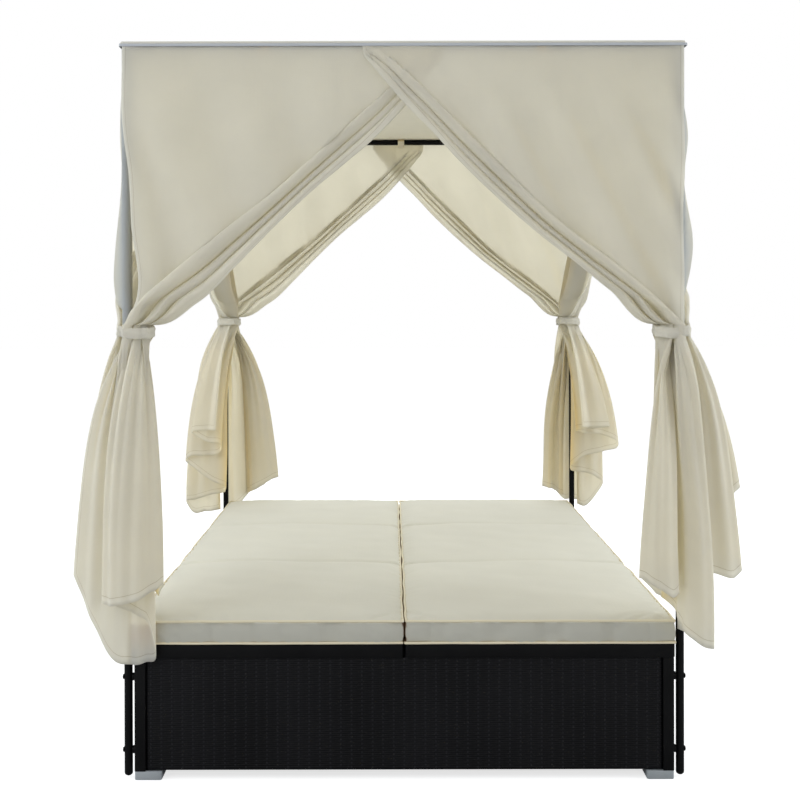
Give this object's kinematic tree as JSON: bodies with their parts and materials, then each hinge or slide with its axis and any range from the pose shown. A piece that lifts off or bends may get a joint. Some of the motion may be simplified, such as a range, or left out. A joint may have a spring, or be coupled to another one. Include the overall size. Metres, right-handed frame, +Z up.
{
  "type": "outdoor daybed with canopy",
  "caption": "Outdoor daybed: woven base, cushioned loungers side by side with reclining backrests, and a post canopy with tied-back curtains.",
  "frame": {"origin": "centre of the bounding box on the ground", "axes": "+X to the right as seen from the front, +Y from the foot end to the head end, +Z up; the pictured front faces -Y"},
  "size_m": [1.7234, 2.1481, 1.9173],
  "materials": {
    "frame_paint": "black powder coat on aluminium, satin",
    "wicker": "woven flat resin strand, black",
    "foot_paint": "silver grey paint",
    "bare_steel": "zinc-plated",
    "curtain_cloth": "plain weave polyester, cream",
    "cushion_cover": "plain weave polyester, cream, piped"
  },
  "bodies": {
    "base": {"base_cross_frame": "frame_paint", "corner_leg_back_left": "frame_paint", "corner_leg_back_right": "frame_paint", "corner_leg_front_left": "frame_paint", "corner_leg_front_right": "frame_paint", "curtain_back_left_end": "curtain_cloth", "curtain_back_left_side": "curtain_cloth", "curtain_back_right_end": "curtain_cloth", "curtain_back_right_side": "curtain_cloth", "curtain_front_left_end": "curtain_cloth", "curtain_front_left_side": "curtain_cloth", "curtain_front_right_end": "curtain_cloth", "curtain_front_right_side": "curtain_cloth", "cushion_fold_left": "cushion_cover", "cushion_fold_right": "cushion_cover", "foot_back_left": "foot_paint", "foot_back_right": "foot_paint", "foot_front_left": "foot_paint", "foot_front_right": "foot_paint", "hinge_rod_left": "bare_steel", "hinge_rod_right": "bare_steel", "panel_back": "wicker", "panel_front": "wicker", "panel_left": "wicker", "panel_right": "wicker", "post_back_left": "frame_paint", "post_back_right": "frame_paint", "post_fixing_back_left_lower": "frame_paint", "post_fixing_back_left_upper": "frame_paint", "post_fixing_back_right_lower": "frame_paint", "post_fixing_back_right_upper": "frame_paint", "post_fixing_front_left_lower": "frame_paint", "post_fixing_front_left_upper": "frame_paint", "post_fixing_front_right_lower": "frame_paint", "post_fixing_front_right_upper": "frame_paint", "post_front_left": "frame_paint", "post_front_right": "frame_paint", "rail_back": "frame_paint", "rail_front": "frame_paint", "rail_left": "frame_paint", "rail_right": "frame_paint", "roof_cloth": "curtain_cloth", "seat_cushion_left": "cushion_cover", "seat_cushion_right": "cushion_cover", "seat_deck_left": "wicker", "seat_deck_right": "wicker", "seat_frame_left": "frame_paint", "seat_frame_right": "frame_paint", "tie_back_left": "curtain_cloth", "tie_back_right": "curtain_cloth", "tie_front_left": "curtain_cloth", "tie_front_right": "curtain_cloth"},
    "backrest_left": {"back_cushion_left": "cushion_cover", "backrest_deck_left": "wicker", "backrest_frame_left": "frame_paint"},
    "backrest_right": {"back_cushion_right": "cushion_cover", "backrest_deck_right": "wicker", "backrest_frame_right": "frame_paint"},
    "prop_left": {"prop_stand_left": "frame_paint"},
    "prop_right": {"prop_stand_right": "frame_paint"}
  },
  "joints": [
    {"name": "backrest_left_recline", "type": "hinge", "parent": "base", "child": "backrest_left", "pos_m": [-0.35, 0.38, 0.33], "axis": [1, 0, 0], "range_deg": [0, 55], "deforming": ["cushion_fold_left"]},
    {"name": "prop_left_swing", "type": "hinge", "parent": "backrest_left", "child": "prop_left", "pos_m": [-0.35, 0.64, 0.33], "axis": [1, 0, 0], "range_deg": [-118, 0]},
    {"name": "backrest_right_recline", "type": "hinge", "parent": "base", "child": "backrest_right", "pos_m": [0.35, 0.38, 0.33], "axis": [1, 0, 0], "range_deg": [0, 55], "deforming": ["cushion_fold_right"]},
    {"name": "prop_right_swing", "type": "hinge", "parent": "backrest_right", "child": "prop_right", "pos_m": [0.35, 0.64, 0.33], "axis": [1, 0, 0], "range_deg": [-118, 0]}
  ],
  "couplings": [
    {"joint": "prop_left_swing", "follows": "backrest_left_recline", "ratio": -2.1},
    {"joint": "prop_right_swing", "follows": "backrest_right_recline", "ratio": -2.1}
  ]
}
